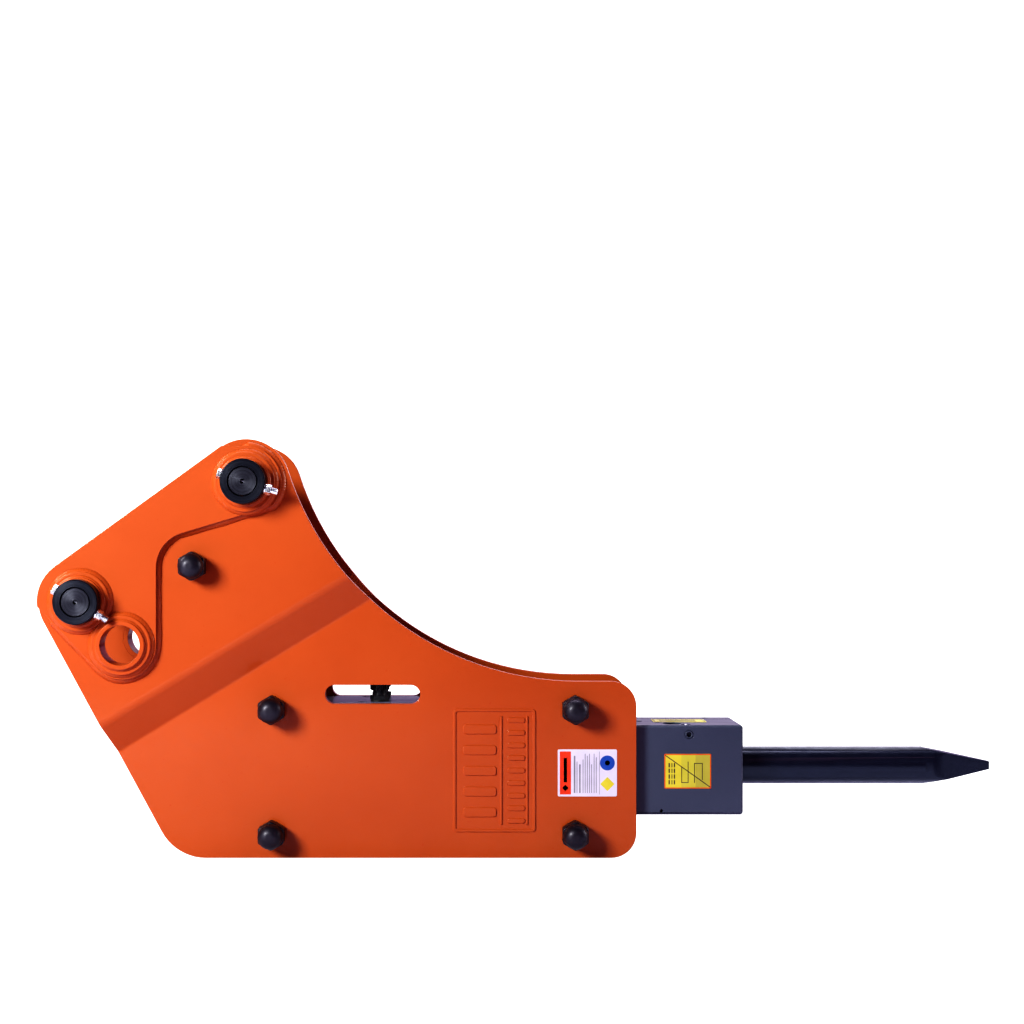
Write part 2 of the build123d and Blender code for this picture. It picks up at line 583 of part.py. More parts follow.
def adapter_seal(y):
    ring = rod_z(SEAL_R, PORT_FACE_Z, PORT_FACE_Z + SEAL_T, PORT_X, y)
    return ring - rod_z(PORT_THREAD_R, PORT_FACE_Z - 1, PORT_FACE_Z + 3, PORT_X, y)


def dust_cap(y):
    """A push-on cap over the adapter's thread, with a thicker rim at the top."""
    z0 = ADAPTER_TOP_Z - CAP_SKIRT
    cap = rod_z(CAP_R - 0.9, z0, ADAPTER_TOP_Z + 3.5, PORT_X, y)
    cap += rod_z(CAP_R, ADAPTER_TOP_Z - 7, ADAPTER_TOP_Z + 3.5, PORT_X, y)
    cap = fillet(outer_edges(cap, Axis.Z, -1), 1.8)
    return cap - rod_z(ADAPTER_THREAD_R + SLIDE_GAP, z0 - 1, ADAPTER_TOP_Z + 0.6, PORT_X, y)


def oil_plug(x, y):
    plug = rod_z(5.9, PORT_FACE_Z - 13, PORT_FACE_Z - 0.5, x, y)
    return plug - Pos(x, y, PORT_FACE_Z - 6) * extrude(hexagon(6.0), 6.0)


# ---------------------------------------------------------------- stickers
def stickers():
    white = near_slab(Pos(89.5, 119.0) * RectangleRounded(83.0, 66.0, 2.0), LOW_OUT, LOW_OUT + STICKER_T)
    label = Pos(232.0, 119.5) * RectangleRounded(66.0, 49.0, 2.0)
    yellow = near_slab(label, BODY_HALF_W, BODY_HALF_W + STICKER_T)
    top = Pos(227.0, 5.0, NOSE_TOP_Z) * extrude(RectangleRounded(76.0, 42.0, 2.0), STICKER_T)
    return white, yellow, top


# ---------------------------------------------------------------- write every node
def main():
    os.makedirs("parts", exist_ok=True)
    plate = side_plate()
    save("side_plate_near", plate)
    save("side_plate_far", far(plate))
    doubler = doubler_plate()
    save("doubler_plate_near", doubler)
    save("doubler_plate_far", far(doubler))
    bosses = [boss_ring(x, z) for x, z in PIN_BORES]
    save("boss_rings_near", *bosses)
    save("boss_rings_far", *[far(b) for b in bosses])
    bushes = [plate_bush(x, z) for x, z in PIN_BORES]
    save("plate_bushes_near", *bushes)
    save("plate_bushes_far", *[far(b) for b in bushes])

    low = [(x, z, LOW_OUT) for x, z in stud_places()]
    every = low + [(*BRACE, UP_OUT)]
    save("side_studs", *[stud(*p) for p in low])
    save("brace_stud", stud(*BRACE, UP_OUT))
    save("brace_spacer", brace_spacer())
    washers = [stud_washer(*p) for p in every]
    nuts = [cap_nut(*p) for p in every]
    save("stud_washers_near", *washers)
    save("stud_washers_far", *[far(w) for w in washers])
    save("cap_nuts_near", *nuts)
    save("cap_nuts_far", *[far(n) for n in nuts])

    for name, place, deg in (("lower", LOWER_PIN, -30.0), ("upper", UPPER_PIN, -18.0)):
        save(f"{name}_pin", mount_pin(*place, deg))
        sides = (-1, 1)
        save(f"{name}_pin_collars", *[pin_collar(*place, s, deg) for s in sides])
        save(f"{name}_pin_lock_bolts", *[lock_bolt(*place, s, deg) for s in sides])
        save(f"{name}_pin_lock_washers", *[lock_washer(*place, s, deg) for s in sides])
        save(f"{name}_pin_lock_nuts", *[lock_nut(*place, s, deg) for s in sides])

    save("back_head", back_head())
    save("cylinder", cylinder())
    save("front_head", front_head())
    save("tie_rods", *[tie_rod(y, z) for y, z in rod_places()])
    save("tie_rod_nuts", *[tie_rod_nut(y, z) for y, z in rod_places()])
    save("tie_rod_washers", *[tie_rod_washer(y, z) for y, z in rod_places()])
    save("seal_carrier", seal_carrier())
    save("rear_piston_seals", *seal_set(REAR_SEAL_R, REAR_ROD_R, REAR_SEALS_X, REAR_SEAL_W))
    save("front_piston_seals", *seal_set(FRONT_SEAL_R, STRIKER_R, FRONT_SEALS_X, FRONT_SEAL_W))
    joint_seal_x = CYL_FRONT_X - JOINT_SEAL_W
    save("head_joint_seal", ring_x(JOINT_SEAL_R, JOINT_SEAL_BORE_R, joint_seal_x, CYL_FRONT_X))
    save("piston", piston())
    save("valve_sleeve", valve_sleeve())
    save("valve_spool", valve_spool())
    save("valve_plug", valve_plug())
    save("thrust_bush", thrust_bush())
    save("tool_bush", tool_bush())
    save("dust_seal", dust_seal())
    save("chisel", chisel())
    save("keeper_pin", keeper_pin())
    save("keeper_plug", keeper_plug())
    save("socket_plug", socket_plug())
    save("grease_nipple", grease_nipple())
    save("gas_valve", gas_valve())
    save("gas_valve_cap", gas_valve_cap())
    save("inlet_adapter", adapter(-PORT_Y))
    save("outlet_adapter", adapter(PORT_Y))
    save("adapter_seals", adapter_seal(-PORT_Y), adapter_seal(PORT_Y))
    save("inlet_dust_cap", dust_cap(-PORT_Y))
    save("outlet_dust_cap", dust_cap(PORT_Y))
    save("oil_plugs", *[oil_plug(x, y) for x, y in OIL_PLUGS])
    white, yellow, top = stickers()
    save("plate_sticker", white)
    save("nose_side_sticker", yellow)
    save("nose_top_sticker", top)


main()
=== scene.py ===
import json
import math

import bmesh
import bpy
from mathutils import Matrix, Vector
from mathutils.bvhtree import BVHTree


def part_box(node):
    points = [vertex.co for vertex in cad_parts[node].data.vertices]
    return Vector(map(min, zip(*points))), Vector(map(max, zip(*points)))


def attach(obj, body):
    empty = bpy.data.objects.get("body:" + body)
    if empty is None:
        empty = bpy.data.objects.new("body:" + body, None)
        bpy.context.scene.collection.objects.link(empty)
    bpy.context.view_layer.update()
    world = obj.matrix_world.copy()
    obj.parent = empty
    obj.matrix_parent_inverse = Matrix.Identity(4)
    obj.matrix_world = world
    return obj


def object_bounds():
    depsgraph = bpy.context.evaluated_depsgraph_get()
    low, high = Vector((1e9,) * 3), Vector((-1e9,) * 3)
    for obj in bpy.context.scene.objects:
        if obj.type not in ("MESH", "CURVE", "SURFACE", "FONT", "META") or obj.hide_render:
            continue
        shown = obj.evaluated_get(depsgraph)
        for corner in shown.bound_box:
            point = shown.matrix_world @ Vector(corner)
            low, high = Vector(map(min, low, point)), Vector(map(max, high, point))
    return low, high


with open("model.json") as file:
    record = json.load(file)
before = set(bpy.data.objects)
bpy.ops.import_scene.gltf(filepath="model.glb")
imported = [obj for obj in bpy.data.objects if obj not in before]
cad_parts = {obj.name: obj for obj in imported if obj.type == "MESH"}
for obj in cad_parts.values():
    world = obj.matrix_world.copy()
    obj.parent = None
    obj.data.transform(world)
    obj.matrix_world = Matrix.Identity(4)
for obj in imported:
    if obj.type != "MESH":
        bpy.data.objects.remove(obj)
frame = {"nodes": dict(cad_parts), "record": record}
CAD_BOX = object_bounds()
NODES = frame["nodes"]

# Hydraulic breaker hammer: looks. Metres, in the CAD frame: +X to the tool's tip, +Z up, -Y near side.
BODY = "body"
MM = 0.001

CENTRE_DRILL_R = 0.0028        # radius of the centre drilling in the middle of a pin's end; the drilling is painted near-black as shade
DRILL_EDGE = 0.0003            # width over which the drilling's painted shade fades into the turned face

JOIN_DISTANCE = 1e-6           # split vertices nearer than this are one
FLAT_ANGLE = math.radians(0.4)     # faces flatter than this to each other are merged
SHARP_ANGLE = math.radians(38)     # edges sharper than this are rounded
BEVEL_SEGMENTS = 2

DOUBLER_BEAD_LEG = 0.0065
BOSS_BEAD_LEG = 0.0048
BUSH_BEAD_LEG = 0.0028
BRACE_BEAD_LEG = 0.005
BUSH_R = 0.0340                # the bush's outer radius, where its bead stands on the boss
BOSS_LEAST_WIDTH = 0.076       # outlines wider than this are a boss ring's outside
BEAD_PITCH = 0.0008            # distance between points along the doubler's bead
BEAD_PROBE = 0.0095            # clear plate that the doubler's bead needs beside it
BEAD_ARC_POINTS = 9
BEAD_RIPPLE = 0.0035           # length of one ripple of a bead
BEAD_DEPTH = 0.0008            # how far a bead reaches into the plate under it
RING_STEP = 0.0007             # distance between points along a round bead

PLUG_LIP_INSET = 0.0016
PLUG_LIP_LEG = 0.0011

THREAD_POINTS = 28             # points per turn of a thread
THREAD_FADE = 10               # points over which a thread runs out at its ends
LOCK_THREAD_R, LOCK_THREAD_PITCH, LOCK_THREAD_DEPTH = 0.00385, 0.00125, 0.00042
LOCK_THREAD_GAP = 0.0006       # from the nut's face to the thread's first turn
LOCK_THREAD_SHORT = 0.0016     # how much shorter the thread is than the bolt's tail
ADAPTER_THREAD_R, ADAPTER_THREAD_PITCH, ADAPTER_THREAD_DEPTH = 0.0094, 0.0016, 0.00035
ADAPTER_THREAD_LENGTH = 0.016
ADAPTER_THREAD_BELOW = 0.0045  # how far under the cap's rim the thread starts

CAP_RIBS = 24
RIB_HALF_DEPTH = 0.0006
RIB_ROOT, RIB_CREST = 0.0008, 0.0004   # half widths of a rib

INK_UNDER, INK_OVER = -0.05, 0.10      # mm below and above a sticker's face
TINT_OVER = 0.05                       # a tint lies lower than the print on it
FLOOR_GAP = 0.0004             # the floor lies this far under the object


# ---------------------------------------------------------------- camera, lights, floor
def add_camera():
    """Level camera square to the side plates, with the hammer in the lower half of the picture."""
    cam = bpy.data.cameras.new("camera")
    cam.sensor_width = 36.0
    cam.lens = 65.04
    cam.shift_x = 0.0508
    cam.shift_y = 0.0327
    ob = bpy.data.objects.new("camera", cam)
    bpy.context.scene.collection.objects.link(ob)
    ob.location = (-0.0888, -2.669, 0.4374)
    ob.rotation_euler = (math.radians(90), 0, 0)
    bpy.context.scene.camera = ob


def add_light(name, place, target, size, power, colour=(1, 1, 1)):
    light = bpy.data.lights.new(name, "AREA")
    light.shape = "RECTANGLE"
    light.size, light.size_y = size
    light.energy = power
    light.color = colour
    ob = bpy.data.objects.new(name, light)
    bpy.context.scene.collection.objects.link(ob)
    ob.location = place
    aim = Vector(target) - Vector(place)
    ob.rotation_mode = "QUATERNION"
    ob.rotation_quaternion = aim.to_track_quat("-Z", "Y")


def studio():
    """Key, fill, strips at both sides and overhead, a rear light and a bright backdrop."""
    centre = (-0.15, 0, 0.25)
    add_light("key", (-1.75, -1.95, 1.15), centre, (0.75, 0.75), 72, (0.96, 1.0, 0.95))
    add_light("right", (2.25, 0.12, 0.95), centre, (0.55, 1.1), 18)
    add_light("left", (-2.0, 0.15, 1.75), centre, (0.4, 0.8), 14)
    add_light("fill", (1.6, -2.2, 1.6), centre, (0.9, 0.9), 4, (1.0, 0.50, 0.60))
    add_light("top", (-0.1, 0.5, 2.3), centre, (2.2, 0.45), 20, (0.95, 0.88, 1.0))
    add_light("rear", (0.6, 2.6, 1.4), centre, (1.8, 1.2), 8)
    scene = bpy.context.scene
    scene.view_settings.view_transform = "Standard"
    scene.view_settings.look = "Very High Contrast"
    world = bpy.data.worlds.new("studio")
    scene.world = world
    world.use_nodes = True
    g = Graph(world.node_tree)
    direction = g.node("ShaderNodeSeparateXYZ", Vector=g.node("ShaderNodeTexCoord").outputs["Generated"])
    depth = g.remap(direction.outputs["Y"], 0.70, 0.97, 0.10, 0.45)
    path = g.node("ShaderNodeLightPath")
    strength = g.mix_value(path.outputs["Is Camera Ray"], depth, 1.0)
    tint = g.mix_colour(path.outputs["Is Camera Ray"], (0.84, 0.60, 1.0, 1.0), (1.0, 1.0, 1.0, 1.0))
    back = g.node("ShaderNodeBackground", Color=tint, Strength=strength)
    out = g.node("ShaderNodeOutputWorld")
    g.link(back.outputs[0], out.inputs["Surface"])


def floor():
    """A plain pale floor that fades into the white backdrop far away."""
    bm = bmesh.new()
    bmesh.ops.create_circle(bm, cap_ends=True, segments=96, radius=14.0)
    ob = mesh_object("floor", bm)
    ob.location = (0, 0, CAD_BOX[0][2] - FLOOR_GAP)
    mat = bpy.data.materials.new("floor_white")
    mat.use_nodes = True
    g = Graph(mat.node_tree)
    place = g.node("ShaderNodeNewGeometry").outputs["Position"]
    far = g.remap(g.length(place), 0.8, 2.4, 0.0, 1.0)
    grain = g.noise(place, 40.0, 3.0)
    pale = g.ramp(grain, [(0.3, (0.86, 0.86, 0.87)), (0.7, (0.90, 0.90, 0.91))])
    rays = g.node("ShaderNodeLightPath").outputs
    seen = rays["Is Camera Ray"]
    bounced = g.mix_colour(rays["Is Glossy Ray"], (0.46, 0.29, 0.52, 1.0), (0.86, 0.86, 1.0, 1.0))
    diffuse = g.node("ShaderNodeBsdfDiffuse", Color=g.mix_colour(seen, bounced, pale))
    white = g.node("ShaderNodeEmission", Color=(1, 1, 1, 1), Strength=1.0)
    mix = g.node("ShaderNodeMixShader", Fac=g.math("MULTIPLY", seen, g.remap(far, 0.0, 1.0, 0.76, 1.0)))
    g.link(diffuse.outputs[0], mix.inputs[1])
    g.link(white.outputs[0], mix.inputs[2])
    g.link(mix.outputs[0], g.node("ShaderNodeOutputMaterial").inputs["Surface"])
    ob.data.materials.append(mat)


# ---------------------------------------------------------------- node graphs
class Graph:
    """Short calls for building a node tree."""

    def __init__(self, tree):
        self.tree = tree
        tree.nodes.clear()

    def link(self, a, b):
        self.tree.links.new(a, b)

    def put(self, socket, value):
        if isinstance(value, bpy.types.NodeSocket):
            self.link(value, socket)
        elif isinstance(value, bpy.types.Node):
            self.link(value.outputs[0], socket)
        else:
            socket.default_value = value

    def node(self, kind, **inputs):
        n = self.tree.nodes.new(kind)
        for key, value in inputs.items():
            self.put(n.inputs[key.replace("_", " ")], value)
        return n

    def math(self, op, a, b=0.0):
        n = self.tree.nodes.new("ShaderNodeMath")
        n.operation = op
        self.put(n.inputs[0], a)
        self.put(n.inputs[1], b)
        return n.outputs[0]

    def length(self, vector):
        n = self.tree.nodes.new("ShaderNodeVectorMath")
        n.operation = "LENGTH"
        self.put(n.inputs[0], vector)
        return n.outputs["Value"]

    def scaled(self, vector, factors):
        n = self.tree.nodes.new("ShaderNodeVectorMath")
        n.operation = "MULTIPLY"
        self.put(n.inputs[0], vector)
        n.inputs[1].default_value = factors
        return n.outputs[0]

    def remap(self, value, a, b, c, d):
        n = self.node("ShaderNodeMapRange")
        self.put(n.inputs["Value"], value)
        for key, v in (("From Min", a), ("From Max", b), ("To Min", c), ("To Max", d)):
            n.inputs[key].default_value = v
        return n.outputs["Result"]

    def mix_value(self, factor, a, b):
        n = self.tree.nodes.new("ShaderNodeMix")
        self.put(n.inputs["Factor"], factor)
        self.put(n.inputs["A"], a)
        self.put(n.inputs["B"], b)
        return n.outputs["Result"]

    def mix_colour(self, factor, a, b):
        n = self.tree.nodes.new("ShaderNodeMix")
        n.data_type = "RGBA"
        self.put(n.inputs[0], factor)
        self.put(n.inputs[6], a)
        self.put(n.inputs[7], b)
        return n.outputs[2]

    def noise(self, vector, scale, detail=2.0, rough=0.5):
        n = self.node("ShaderNodeTexNoise", Vector=vector, Scale=scale, Detail=detail, Roughness=rough)
        return n.outputs["Fac"]

    def ramp(self, value, stops):
        n = self.tree.nodes.new("ShaderNodeValToRGB")
        n.color_ramp.elements.remove(n.color_ramp.elements[0])
        for i, (place, colour) in enumerate(stops):
            stop = n.color_ramp.elements[0] if i == 0 else n.color_ramp.elements.new(place)
            stop.position = place
            stop.color = (*colour, 1.0)
        self.put(n.inputs[0], value)
        return n.outputs["Color"]

    def bump(self, height, distance, strength=1.0, below=None):
        n = self.node("ShaderNodeBump", Height=height, Distance=distance, Strength=strength)
        if below is not None:
            self.link(below, n.inputs["Normal"])
        return n.outputs["Normal"]


def start(name):
    """A new material, its graph and the object-space position."""
    mat = bpy.data.materials.new(name)
    mat.use_nodes = True
    g = Graph(mat.node_tree)
    place = g.node("ShaderNodeTexCoord").outputs["Object"]
    return mat, g, place


def end(g, colour, rough, normal, metallic=0.0, **constants):
    """Joins the graph's sockets to a principled shader; the constants go straight onto its sockets."""
    shader = g.node("ShaderNodeBsdfPrincipled", Base_Color=colour, Roughness=rough, Metallic=metallic)
    g.link(normal, shader.inputs["Normal"])
    for key, value in constants.items():
        shader.inputs[key.replace("_", " ")].default_value = value
    g.link(shader.outputs[0], g.node("ShaderNodeOutputMaterial").inputs["Surface"])


def paint(name, dark, light, rough, peel, speck, coat, coat_rough, specular):
    """Sprayed enamel: slow colour drift, orange peel, fine dust nibs and faint handling smears."""
    mat, g, place = start(name)
    drift = g.noise(place, 5.0, 4.0)
    colour = g.ramp(drift, [(0.30, dark), (0.70, light)])
    nibs = g.remap(g.noise(place, 210.0, 2.0, 0.6), 0.70, 0.78, 0.0, 1.0)
    colour = g.mix_colour(g.math("MULTIPLY", nibs, 0.35), colour, (*speck, 1.0))
    smear = g.noise(g.scaled(place, (3.0, 9.0, 9.0)), 4.0, 6.0, 0.65)
    gloss = g.remap(smear, 0.3, 0.7, rough - 0.05, rough + 0.07)
    coarse = g.bump(g.noise(place, peel, 1.5), 0.00035, 0.22)
    fine = g.bump(g.noise(place, peel * 4.5, 2.0), 0.00008, 0.3, coarse)
    end(g, colour, gloss, fine, Coat_Weight=coat, Coat_Roughness=coat_rough,
        Specular_IOR_Level=specular)
    return mat


def black_steel(name, dark, light, rough, grain, depth, specular=0.5, coat=0.0, coat_rough=0.2,
                cast=(1, 1, 1)):
    """Blackened or painted steel with a fine grain; cast tints its highlights."""
    mat, g, place = start(name)
    drift = g.noise(place, 22.0, 5.0, 0.6)
    colour = g.ramp(drift, [(0.3, dark), (0.72, light)])
    gloss = g.remap(g.noise(place, 60.0, 4.0, 0.6), 0.3, 0.7, rough - 0.07, rough + 0.09)
    normal = g.bump(g.noise(place, grain, 3.0, 0.6), depth, 0.5)
    end(g, colour, gloss, normal, Specular_IOR_Level=specular, Specular_Tint=(*cast, 1.0), Coat_Weight=coat,
        Coat_Roughness=coat_rough, Coat_Tint=(*cast, 1.0))
    return mat


def turned_face(name, centre, dark, light, rough, pitch):
    """Dark turned steel: rings about an axis along Y through centre, and painted shade in the centre
    drilling: near-black, matt and not metallic.
    """
    mat, g, place = start(name)
    off = g.node("ShaderNodeVectorMath")
    off.operation = "SUBTRACT"
    g.link(place, off.inputs[0])
    off.inputs[1].default_value = centre
    flat = g.scaled(off.outputs[0], (1.0, 0.0, 1.0))
    radius = g.length(flat)
    groove = g.math("SINE", g.math("MULTIPLY", radius, 2 * math.pi / pitch))
    wander = g.noise(place, 160.0, 3.0)
    height = g.math("ADD", groove, g.math("MULTIPLY", wander, 1.2))
    band = g.noise(g.node("ShaderNodeCombineXYZ", X=radius), 700.0, 3.0)
    colour = g.ramp(band, [(0.35, dark), (0.65, light)])
    drill_end = CENTRE_DRILL_R + DRILL_EDGE
    # painted shade: inside the centre drilling the colour goes near-black, matt and not metallic, standing in
    # for the shade in the hole
    painted_drill_shade = g.remap(radius, CENTRE_DRILL_R, drill_end, 1.0, 0.0)
    colour = g.mix_colour(painted_drill_shade, colour, (0.002, 0.002, 0.003, 1.0))
    gloss = g.remap(band, 0.3, 0.7, rough - 0.06, rough + 0.08)
    gloss = g.mix_value(painted_drill_shade, gloss, 1.0)
    metallic = g.remap(radius, CENTRE_DRILL_R, drill_end, 0.0, 0.6)
    end(g, colour, gloss, g.bump(height, 0.00006, 0.6), metallic=metallic, Specular_IOR_Level=0.5)
    return mat


def metal(name, dark, light, rough, grain, depth, stretch=(1, 1, 1)):
    """Bare, plated or machined metal."""
    mat, g, place = start(name)
    tone = g.noise(g.scaled(place, stretch), grain * 0.3, 5.0, 0.6)
    colour = g.ramp(tone, [(0.3, dark), (0.7, light)])
    gloss = g.remap(g.noise(place, grain * 0.6, 3.0), 0.3, 0.7, rough - 0.06, rough + 0.08)
    normal = g.bump(g.noise(g.scaled(place, stretch), grain, 2.0), depth, 0.5)
    end(g, colour, gloss, normal, metallic=1.0)
    return mat


def soft(name, dark, light, rough, grain, depth):
    """Rubber, urethane, moulded cap plastic or printed vinyl."""
    mat, g, place = start(name)
    colour = g.ramp(g.noise(place, 45.0, 4.0), [(0.3, dark), (0.7, light)])
    gloss = g.remap(g.noise(place, 90.0, 3.0), 0.3, 0.7, rough - 0.05, rough + 0.06)
    normal = g.bump(g.noise(place, grain, 2.0), depth, 0.4)
    end(g, colour, gloss, normal)
    return mat


# ---------------------------------------------------------------- meshes
def mesh_object(name, bm, smooth=False):
    """A new object from bm, which is freed."""
    bmesh.ops.recalc_face_normals(bm, faces=bm.faces)
    for face in bm.faces:
        face.smooth = smooth
    me = bpy.data.meshes.new(name)
    bm.to_mesh(me)
    bm.free()
    ob = bpy.data.objects.new(name, me)
    bpy.context.scene.collection.objects.link(ob)
    return ob


def piece(name, bm, material, body=BODY, smooth=False):
    """A new visible piece that rides on body and has one material slot."""
    ob = mesh_object(name, bm, smooth)
    ob.data.materials.append(material)
    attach(ob, body)


def welded(node):
    """The node's mesh with its split vertices joined."""
    bm = bmesh.new()
    bm.from_mesh(NODES[node].data)
    bmesh.ops.remove_doubles(bm, verts=bm.verts, dist=JOIN_DISTANCE)
    bm.normal_update()
    return bm


def outlines(node, y):
    """The closed outlines that the node has on the plane Y = y, each a list of (x, z)."""
    bm = welded(node)
    step = {}
    for edge in bm.edges:
        if all(abs(v.co.y - y) < 1e-5 for v in edge.verts) and len(edge.link_faces) == 2:
            flat = [abs(f.normal.y) > 0.99 for f in edge.link_faces]
            if flat[0] != flat[1]:
                a, b = edge.verts
                step.setdefault(a.index, []).append(b.index)
                step.setdefault(b.index, []).append(a.index)
    bm.verts.ensure_lookup_table()
    loops, used = [], set()
    for first in step:
        if first in used:
            continue
        loop, here, before = [], first, None
        while here is not None and here not in used:
            used.add(here)
            loop.append((bm.verts[here].co.x, bm.verts[here].co.z))
            ahead = [n for n in step[here] if n != before and n not in used]
            before, here = here, ahead[0] if ahead else None
        loops.append(loop)
    bm.free()
    return loops


def spread(loop, pitch):
    """Points at an even pitch round a closed polyline of (x, z)."""
    pts = [Vector(p) for p in loop]
    pts.append(pts[0])
    marks = [0.0]
    for a, b in zip(pts, pts[1:]):
        marks.append(marks[-1] + (b - a).length)
    count = max(3, round(marks[-1] / pitch))
    out, k = [], 0
    for i in range(count):
        s = marks[-1] * i / count
        while k < len(pts) - 2 and marks[k + 1] < s:
            k += 1
        t = (s - marks[k]) / max(marks[k + 1] - marks[k], 1e-12)
        out.append(pts[k].lerp(pts[k + 1], min(t, 1.0)))
    return out


def centre_of(loop):
    """The middle of an outline's box."""
    xs, zs = [p[0] for p in loop], [p[1] for p in loop]
    return Vector(((min(xs) + max(xs)) / 2, (min(zs) + max(zs)) / 2))


def width_of(loop):
    """How far an outline reaches along X."""
    return max(p[0] for p in loop) - min(p[0] for p in loop)


def circle(x, z, r, count):
    turns = [2 * math.pi * i / count for i in range(count)]
    return [(x + r * math.cos(t), z + r * math.sin(t)) for t in turns]


def bead(bm, path, sides, y, leg, outward, closed=True):
    """A weld bead in the corner at plane Y = y: sides gives each point's unit way off the wall."""
    rings, s = [], 0.0
    for i, (p, side) in enumerate(zip(path, sides)):
        if i:
            s += (p - path[i - 1]).length
        phase = (s / BEAD_RIPPLE) % 1.0
        ends = 1.0 if closed else min(1.0, 0.15 + i / 16, 0.15 + (len(path) - 1 - i) / 16)
        wander = 0.05 * math.sin(s * 61.0) + 0.04 * math.sin(s * 143.0 + 1.0)
        size = leg * ends * (0.94 + 0.05 * math.sin(math.pi * phase) + wander)
        ring = []
        for k in range(BEAD_ARC_POINTS):
            a = math.pi * 0.5 * k / (BEAD_ARC_POINTS - 1)
            reach, rise = size * math.cos(a), size * math.sin(a)
            swell = 1.0 - 0.18 * math.sin(2 * a)
            at = p + side * (reach * swell)
            ring.append(bm.verts.new((at.x, y + outward * rise * swell, at.y)))
        root = p - side * 0.0012
        ring.append(bm.verts.new((root.x, y + outward * size, root.y)))
        ring.append(bm.verts.new((root.x, y - outward * BEAD_DEPTH, root.y)))
        toe = p + side * (size * 0.98)
        ring.append(bm.verts.new((toe.x, y - outward * BEAD_DEPTH, toe.y)))
        rings.append(ring)
    pairs = list(zip(rings, rings[1:]))
    if closed:
        pairs.append((rings[-1], rings[0]))
    for a, b in pairs:
        for k in range(len(a)):
            m = (k + 1) % len(a)
            bm.faces.new((a[k], a[m], b[m], b[k]))
    if not closed:
        bm.faces.new(rings[0])
        bm.faces.new(list(reversed(rings[-1])))


def ring_bead(bm, x, z, r, y, leg, outward):
    """A bead round the outside of a cylinder of radius r along Y."""
    path = [Vector(p) for p in circle(x, z, r, int(2 * math.pi * r / RING_STEP))]
    centre = Vector((x, z))
    sides = [(p - centre).normalized() for p in path]
    bead(bm, path, sides, y, leg, outward)


def side_names(side):
    """The word for a side in node names, and which way along Y is out of the object there."""
    return ("near", -1) if side < 0 else ("far", 1)


# ---------------------------------------------------------------- materials
ORANGE = paint("orange_enamel", (0.405, 0.088, 0.0185), (0.44, 0.101, 0.0220), 0.45, 420.0,
               (0.40, 0.03, 0.004), 0.35, 0.11, 0.15)
NAVY = paint("navy_enamel", (0.050, 0.062, 0.096), (0.066, 0.081, 0.122), 0.46, 520.0,
             (0.05, 0.06, 0.09), 0.30, 0.14, 0.32)
CHISEL = black_steel("chisel_black", (0.004, 0.005, 0.013), (0.009, 0.011, 0.024), 0.36, 230.0,
                     0.00060, 0.6, 0.35, 0.24, (0.68, 0.80, 1.0))
OXIDE = black_steel("black_oxide", (0.009, 0.010, 0.014), (0.022, 0.025, 0.033), 0.38, 900.0, 0.00006, 0.5)
NUT = black_steel("gloss_black_nut", (0.007, 0.006, 0.011), (0.016, 0.014, 0.022), 0.46, 600.0,
                  0.00005, 0.50, 0.10, 0.2, (0.92, 0.86, 1.0))
ZINC = metal("bright_zinc", (0.52, 0.54, 0.58), (0.80, 0.81, 0.84), 0.26, 400.0, 0.00004)
GROUND = metal("ground_steel", (0.34, 0.35, 0.36), (0.52, 0.53, 0.54), 0.24, 500.0, 0.00003, (0.1, 1, 1))
BRONZE = metal("bronze", (0.38, 0.22, 0.08), (0.55, 0.34, 0.13), 0.32, 400.0, 0.00004)
BRASS = metal("brass", (0.55, 0.38, 0.12), (0.72, 0.52, 0.20), 0.27, 450.0, 0.00004)
RUBBER = soft("seal_rubber", (0.010, 0.010, 0.011), (0.022, 0.022, 0.024), 0.62, 500.0, 0.0001)
URETHANE = soft("seal_urethane", (0.18, 0.10, 0.03), (0.26, 0.15, 0.05), 0.4, 400.0, 0.0001)
CAP = soft("cap_plastic", (0.010, 0.011, 0.013), (0.020, 0.021, 0.024), 0.42, 700.0, 0.00008)
WHITE_VINYL = soft("white_vinyl", (0.60, 0.60, 0.68), (0.66, 0.66, 0.73), 0.38, 500.0, 0.00004)
YELLOW_VINYL = soft("yellow_vinyl", (0.60, 0.55, 0.055), (0.66, 0.61, 0.07), 0.38, 500.0, 0.00004)
RED_INK = soft("red_ink", (0.62, 0.055, 0.014), (0.70, 0.075, 0.02), 0.4, 500.0, 0.00003)
GREY_INK = soft("grey_ink", (0.20, 0.21, 0.23), (0.27, 0.28, 0.30), 0.42, 500.0, 0.00003)
DARK_INK = soft("dark_ink", (0.030, 0.024, 0.018), (0.055, 0.045, 0.035), 0.42, 500.0, 0.00003)
LIME_INK = soft("lime_ink", (0.52, 0.50, 0.060), (0.57, 0.55, 0.08), 0.4, 500.0, 0.00003)
OLIVE_INK = soft("olive_ink", (0.42, 0.40, 0.06), (0.47, 0.45, 0.08), 0.4, 500.0, 0.00003)
BLUE_INK = soft("blue_ink", (0.012, 0.075, 0.33), (0.020, 0.10, 0.42), 0.4, 500.0, 0.00003)

SLOT_LOOKS = {
    "orange_paint": ORANGE, "navy_paint": NAVY, "chisel_steel": CHISEL, "black_oxide": OXIDE,
    "black_nut": NUT, "zinc": ZINC, "ground_steel": GROUND, "bronze": BRONZE, "brass_fitting": BRASS,
    "seal_rubber": RUBBER, "seal_urethane": URETHANE, "cap_plastic": CAP,
    "white_vinyl": WHITE_VINYL, "yellow_vinyl": YELLOW_VINYL,
}

